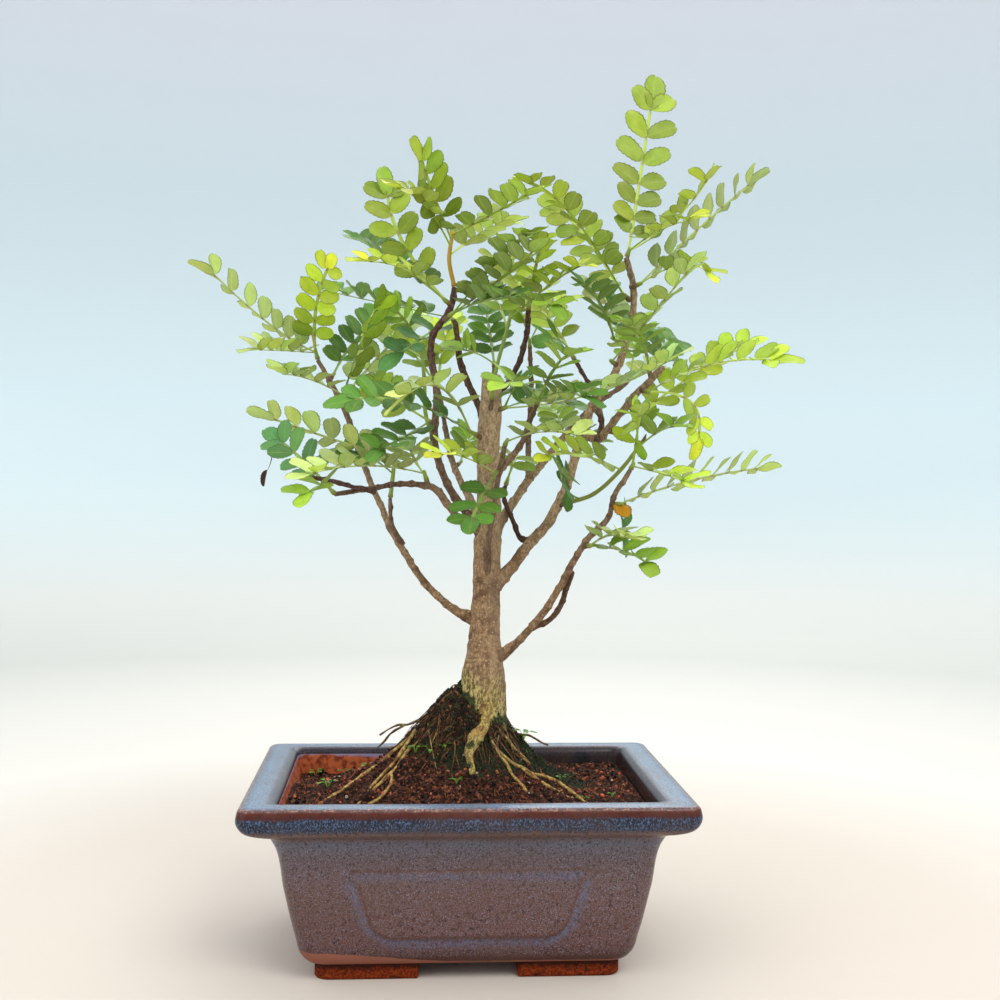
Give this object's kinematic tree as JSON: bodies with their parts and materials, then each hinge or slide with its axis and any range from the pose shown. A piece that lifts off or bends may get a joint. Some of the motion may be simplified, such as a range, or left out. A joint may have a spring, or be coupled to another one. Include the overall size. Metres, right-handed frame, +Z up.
{
  "type": "japanese pepper bonsai",
  "caption": "Young bonsai tree with pinnate leaves, a bare tapering trunk and surface roots, in soil in a footed rectangular glazed pot.",
  "frame": {"origin": "on the ground, under the middle of the whole plant's bounding box; the pot's own middle is 6 mm to the left of it and 6 mm in front of it", "axes": "+Z up along the trunk, +X to the viewer's right along the pot's long side, +Y away from the viewer"},
  "size_m": [0.2223, 0.1389, 0.3201],
  "materials": {
    "pot_glaze": "speckled blue and brown stoneware glaze, satin on the rim",
    "drain_mesh": "plain moulded mesh",
    "soil": "damp granular earth with moss",
    "bark": "smooth grey-tan bark with brown patches",
    "leaves_young": "thin soft new leaf",
    "leaves_lime": "thin half-grown leaf",
    "leaves_green": "glossy grown leaf",
    "leaves_dark": "glossy old leaf"
  },
  "bodies": {
    "root": {"pot": "pot_glaze", "drain_mesh_left": "drain_mesh", "drain_mesh_right": "drain_mesh", "soil": "soil", "wood": "bark", "shoot_crown_right": "leaves_lime", "shoot_right_shoulder": "leaves_green", "shoot_crown_inner": "leaves_lime", "shoot_right_side": "leaves_lime", "shoot_right_back": "leaves_lime", "shoot_centre_crown": "leaves_young", "shoot_centre_twig": "leaves_green", "shoot_left_crown": "leaves_green", "shoot_left_upper": "leaves_lime", "shoot_left_inner": "leaves_green", "shoot_left_deep": "leaves_dark", "shoot_left_tip": "leaves_young", "shoot_left_flank": "leaves_lime", "shoot_left_flank_back": "leaves_dark", "shoot_left_low": "leaves_lime", "shoot_left_arm": "leaves_dark", "shoot_left_arm_mid": "leaves_lime", "shoot_left_back": "leaves_dark", "shoot_left_tall": "leaves_green", "shoot_trunk_left": "leaves_dark", "shoot_trunk_front": "leaves_young", "shoot_twig_tip": "leaves_lime", "shoot_top_right": "leaves_lime", "shoot_top_cut": "leaves_dark", "shoot_green_rod": "leaves_green", "shoot_green_arm": "leaves_young", "shoot_right_reach": "leaves_lime", "shoot_right_wing": "leaves_lime", "shoot_right_wing_top": "leaves_dark", "shoot_low_right": "leaves_lime", "shoot_low_right_hang": "leaves_green", "shoot_low_right_tip": "leaves_lime", "shoot_inner_twig": "leaves_green", "shoot_back_left_spray": "leaves_green", "shoot_back_left_low": "leaves_green", "shoot_back_right_spray": "leaves_lime", "shoot_back_right_mid": "leaves_dark", "shoot_back_top": "leaves_lime", "shoot_front_spray": "leaves_green"}
  },
  "joints": []
}
